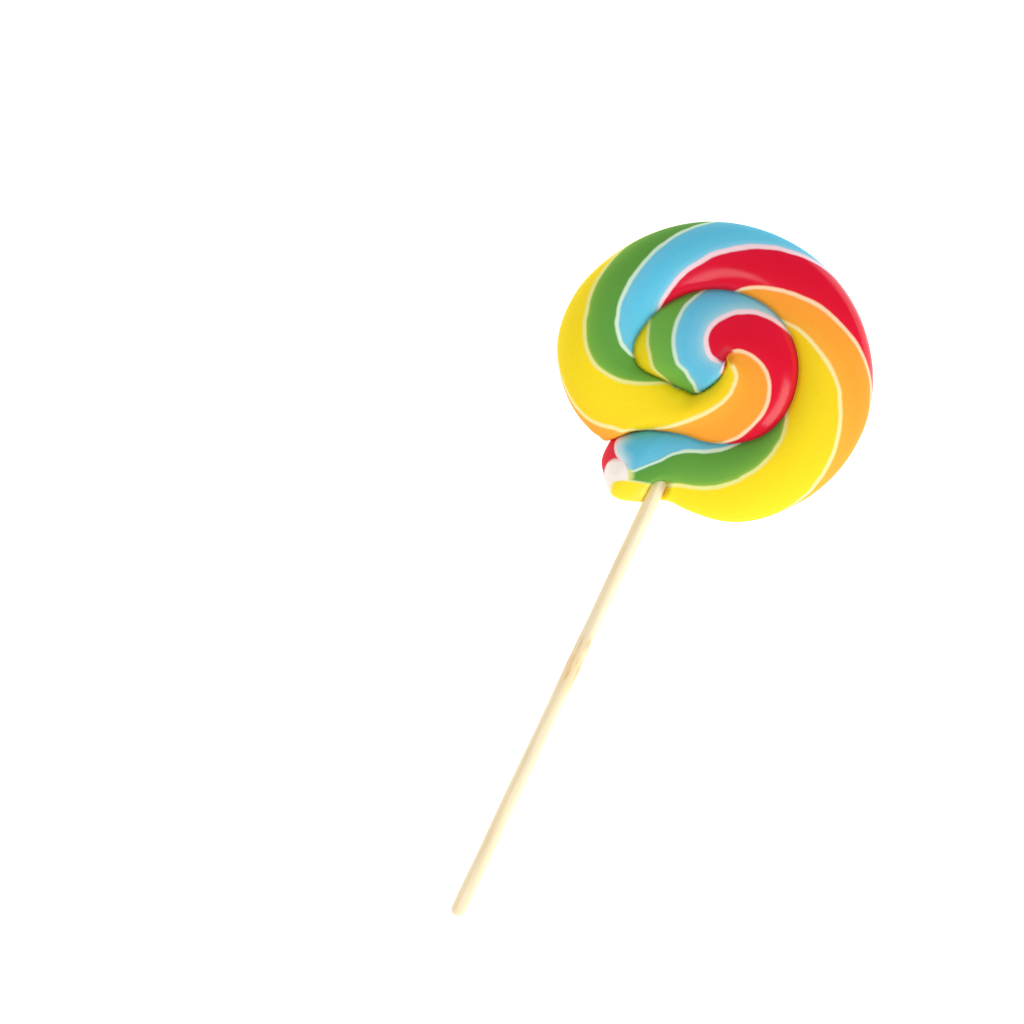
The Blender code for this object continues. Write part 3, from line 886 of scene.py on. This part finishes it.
def white_sugar():
    """Aerated white sugar: soft white, satin, stained pink where the red sugar bled into its upper edge."""
    material, tree, shader = new_material("aerated_white_sugar", WHITE_SUGAR)
    place = add(tree, "ShaderNodeTexCoord").outputs["Object"]
    cloud = add(tree, "ShaderNodeTexNoise", {"Vector": place, "Scale": per_metre(CLOUD_SIZE), "Detail": 3.0})
    ramp = add(tree, "ShaderNodeValToRGB", {"Fac": cloud.outputs["Fac"]})
    set_ramp(ramp.color_ramp, ((0.3, "#FDEEE4"), (0.7, "#FFF8EE")))
    split = add(tree, "ShaderNodeSeparateXYZ", {"Vector": cut_place(tree, place)})
    bled = add(
        tree,
        "ShaderNodeMapRange",
        {
            "Value": split.outputs["Y"],
            "From Min": BLEED[0],
            "From Max": BLEED[1],
            "To Min": 0.0,
            "To Max": BLEED_STRENGTH,
        },
        interpolation_type="SMOOTHSTEP",
    )
    pink = add(
        tree,
        "ShaderNodeMix",
        {0: bled.outputs["Result"], 6: ramp.outputs["Color"], 7: linear("#F7A9A4")},
        data_type="RGBA",
    )
    tree.links.new(pink.outputs[2], shader.inputs["Base Color"])
    bump = add(
        tree,
        "ShaderNodeBump",
        {"Height": cloud.outputs["Fac"], "Strength": 0.2, "Distance": 0.2 * MM},
    )
    tree.links.new(bump.outputs["Normal"], shader.inputs["Normal"])
    return material


core_cut_end.data.materials.append(white_sugar())
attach(core_cut_end, "root")
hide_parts("core")

# The stick. It is a plain round birch dowel, turned and tumbled smooth, with rounded ends and a small
# golden knot half way. It was pushed into the soft rim and the sugar set round it.
STICK_RADIUS = 2.0
STICK_LENGTH = 150.0
STICK_ROUND = 1.7         # the round of its ends
STICK_SIDES = 64
STICK_STEPS = 300
END_STEPS = 9
SWELLS = ((0.03, 0.21, 0.0), (0.02, 0.57, 1.0))   # (mm, radians for each mm, phase) of its slow unevenness
SWELL_ROOM = 0.03         # and the radius is this much less, to leave room for them
KNOT_Y = -89.0            # from the swirl's centre
TWIG_SCAR_Y = -81.8       # a second, small mark
WOOD_MARKS = (            # (place, half length in mm, fleck noise from and to, strength, hex colour)
    (KNOT_Y, 9.0, 0.20, 0.55, 0.7, "#F6D49A"), (KNOT_Y, 8.0, 0.52, 0.62, 0.7, "#D5A55C"),
    (TWIG_SCAR_Y, 3.0, 0.46, 0.58, 0.7, "#D3A55E"),
)


def stick_arrays():
    """A profile turned about the stick's axis and closed at both ends.

    The radius falls by a quarter round at the ends and swells slowly by sines of the length.
    """
    start = STICK_ROUND * (1.0 - np.cos(np.linspace(0.0, math.pi / 2, END_STEPS)))
    body = np.linspace(STICK_ROUND, STICK_LENGTH - STICK_ROUND, STICK_STEPS)[1:-1]
    length = np.concatenate([start, body, (STICK_LENGTH - start)[::-1]])
    from_end = np.minimum(np.minimum(length, STICK_LENGTH - length), STICK_ROUND)
    inset = STICK_ROUND - np.sqrt(np.maximum(STICK_ROUND**2 - (STICK_ROUND - from_end) ** 2, 0.0))
    swell = sum(size * np.sin(length * rate + phase) for size, rate, phase in SWELLS)
    radius = (STICK_RADIUS - inset + swell - SWELL_ROOM)[:, None]
    turn = np.linspace(0.0, math.tau, STICK_SIDES, endpoint=False)[None, :]
    x = STICK_X + radius * np.cos(turn)
    z = STICK_Z + radius * np.sin(turn)
    y = (STICK_FREE_END_Y + length)[:, None] * np.ones_like(turn)
    points = np.stack([x, y, z], axis=-1).reshape(-1, 3)
    ends = np.array([
        [STICK_X, STICK_FREE_END_Y, STICK_Z],
        [STICK_X, STICK_FREE_END_Y + STICK_LENGTH, STICK_Z],
    ])
    ringed = closed(np.arange(len(points)).reshape(len(length), STICK_SIDES))
    first = np.full(STICK_SIDES, len(points))
    triangles = np.concatenate([
        split_cells(ringed)[:, ::-1],
        np.stack([first, ringed[0, :-1], ringed[0, 1:]], 1),
        np.stack([first + 1, ringed[-1, 1:], ringed[-1, :-1]], 1),
    ])
    return np.concatenate([points, ends]), triangles


stick_points, stick_triangles = stick_arrays()
birch_stick = add_piece("birch_stick", stick_points, stick_triangles, {})

FIBRE_SIZE = 0.6667       # mm across the fine fibres,
TONE_SIZE = 2.857         # and across the slow changes of tone,
ALONG = 0.06              # both drawn out along the stick by one over this
BIRCH_ROUGHNESS = 0.62


def birch():
    """Birch: pale cream, straight fine grain along the stick, a golden-brown knot."""
    material, tree, shader = new_material("turned_birch", {"Roughness": BIRCH_ROUGHNESS})
    place = add(tree, "ShaderNodeTexCoord").outputs["Object"]
    drawn = add(tree, "ShaderNodeMapping", {"Vector": place, "Scale": (1.0, ALONG, 1.0)}).outputs["Vector"]
    grain = add(tree, "ShaderNodeTexNoise", {"Vector": drawn, "Scale": per_metre(FIBRE_SIZE), "Detail": 5.0})
    tone = add(tree, "ShaderNodeTexNoise", {"Vector": drawn, "Scale": per_metre(TONE_SIZE), "Detail": 2.0})
    ramp = add(tree, "ShaderNodeValToRGB", {"Fac": tone.outputs["Fac"]})
    set_ramp(ramp.color_ramp, ((0.3, "#F3DDB0"), (0.5, "#F8E6C2"), (0.7, "#FBEDD2")))
    fibre = add(
        tree,
        "ShaderNodeMapRange",
        {"Value": grain.outputs["Fac"], "From Min": 0.35, "From Max": 0.65, "To Min": 0.93, "To Max": 1.04},
    )
    toned = add(
        tree,
        "ShaderNodeHueSaturation",
        {"Value": fibre.outputs["Result"], "Color": ramp.outputs["Color"]},
    )
    split = add(tree, "ShaderNodeSeparateXYZ", {"Vector": place})
    colour = toned.outputs["Color"]
    for mark_y, half_length, low, high, strength, code in WOOD_MARKS:
        away = add(
            tree,
            "ShaderNodeMath",
            {0: split.outputs["Y"], 1: (CENTRE_Y + mark_y) * MM},
            operation="SUBTRACT",
        )
        span = add(tree, "ShaderNodeMath", {0: away.outputs[0]}, operation="ABSOLUTE")
        near = add(
            tree,
            "ShaderNodeMapRange",
            {"Value": span.outputs[0], "From Max": half_length * MM, "To Min": 1.0, "To Max": 0.0},
            interpolation_type="SMOOTHSTEP",
        )
        fleck = add(
            tree,
            "ShaderNodeMapRange",
            {"Value": grain.outputs["Fac"], "From Min": low, "From Max": high, "To Max": strength},
        )
        mark = add(
            tree,
            "ShaderNodeMath",
            {0: near.outputs["Result"], 1: fleck.outputs["Result"]},
            operation="MULTIPLY",
        )
        dark = add(tree, "ShaderNodeMix", {0: mark.outputs[0], 6: colour, 7: linear(code)}, data_type="RGBA")
        colour = dark.outputs[2]
    tree.links.new(colour, shader.inputs["Base Color"])
    bump = add(
        tree,
        "ShaderNodeBump",
        {"Height": grain.outputs["Fac"], "Strength": 0.25, "Distance": 0.1 * MM},
    )
    tree.links.new(bump.outputs["Normal"], shader.inputs["Normal"])
    return material


birch_stick.data.materials.append(birch())
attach(birch_stick, "root")
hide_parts("stick")

# The studio: a plain pale floor under the lollipop, even light all round, two softboxes low at the view's
# near side and lower right that give the red its two highlights, and the camera above the photo's framing.
PIXELS_PER_MM = 3.9
FRAME_PIXELS = 1024
CAMERA_ABOVE_MM = 3000.0
AIR = 0.77                          # strength of the even light all round
AIR_IN_GLOSS = 0.05                 # and of the same light where the gloss mirrors it
VIEW_CENTRE = (-33.37, -59.26)      # the frame's middle, in mm from the swirl's centre
FLOOR_HALF = 3.0                    # the floor's half width, in metres
FLOOR_DROP = 0.05                   # it lies this far under the slab's plane, in mm, clear of the flat back
FLOOR_GLOW = 0.6                    # lifts the floor to the photo's pure white
SOFTBOXES = (
    # (name, azimuth and elevation in degrees, distance, width and height in metres, roll in degrees, watts)
    ("near_softbox", -88, 47, 0.9, 0.70, 0.22, -60, 1.6),
    ("side_softbox", -31, 26, 0.9, 0.62, 0.36, 0, 3.0),
)

floor_mesh = bpy.data.meshes.new("floor")
floor_corners = [(a * FLOOR_HALF, b * FLOOR_HALF, 0.0) for a, b in ((-1, -1), (1, -1), (1, 1), (-1, 1))]
floor_mesh.from_pydata(floor_corners, [], [(0, 1, 2, 3)])
floor = bpy.data.objects.new("floor", floor_mesh)
bpy.context.collection.objects.link(floor)
floor.location = (0.0, 0.0, -FLOOR_DROP * MM)
WHITE_PAPER = {
    "Base Color": linear("#FAFAFA"),
    "Roughness": 0.9,
    "Emission Color": linear("#FFFFFF"),
    "Emission Strength": FLOOR_GLOW,
}
floor_mesh.materials.append(new_material("white_paper_sweep", WHITE_PAPER)[0])

world = bpy.data.worlds.new("studio_air")
bpy.context.scene.world = world
world.use_nodes = True
world.cycles.sampling_method = "NONE"
background = world.node_tree.nodes["Background"]
background.inputs["Color"].default_value = linear("#FFFFFF")
# seen in the gloss the air is dim, as through a polarising filter, so that the colours stay deep
glossy_ray = add(world.node_tree, "ShaderNodeLightPath").outputs["Is Glossy Ray"]
air = add(
    world.node_tree,
    "ShaderNodeMath",
    {0: glossy_ray, 1: AIR_IN_GLOSS - AIR, 2: AIR},
    operation="MULTIPLY_ADD",
)
world.node_tree.links.new(air.outputs[0], background.inputs["Strength"])


def add_softbox(name, azimuth, elevation, distance, width, height, roll, power):
    """Flat softbox that faces the swirl's centre, its azimuth counter-clockwise from the photo's right.

    Roll turns it about the line to the centre.
    """
    data = bpy.data.lights.new(name, "AREA")
    data.shape = "RECTANGLE"
    data.size = width
    data.size_y = height
    data.energy = power
    light = bpy.data.objects.new(name, data)
    bpy.context.collection.objects.link(light)
    heading = math.radians(azimuth) + PHOTO_TURN
    up = math.radians(elevation)
    flat = distance * math.cos(up)
    light.location = (
        CENTRE_X * MM + flat * math.cos(heading),
        CENTRE_Y * MM + flat * math.sin(heading),
        distance * math.sin(up),
    )
    facing = Euler((math.pi / 2 - up, 0.0, heading + math.pi / 2)).to_matrix()
    light.rotation_euler = (facing @ Matrix.Rotation(math.radians(roll), 3, "Z")).to_euler()


for softbox in SOFTBOXES:
    add_softbox(*softbox)

camera_data = bpy.data.cameras.new("camera")
camera_data.sensor_width = 36.0
camera_data.lens = camera_data.sensor_width * CAMERA_ABOVE_MM / (FRAME_PIXELS / PIXELS_PER_MM)
camera = bpy.data.objects.new("camera", camera_data)
bpy.context.collection.objects.link(camera)
camera.location = (
    (CENTRE_X + VIEW_CENTRE[0]) * MM,
    (CENTRE_Y + VIEW_CENTRE[1]) * MM,
    (CAMERA_ABOVE_MM + WIDEST_Z) * MM,
)
camera.rotation_euler = (0.0, 0.0, PHOTO_TURN)
bpy.context.scene.camera = camera
bpy.context.scene.view_settings.view_transform = "Standard"
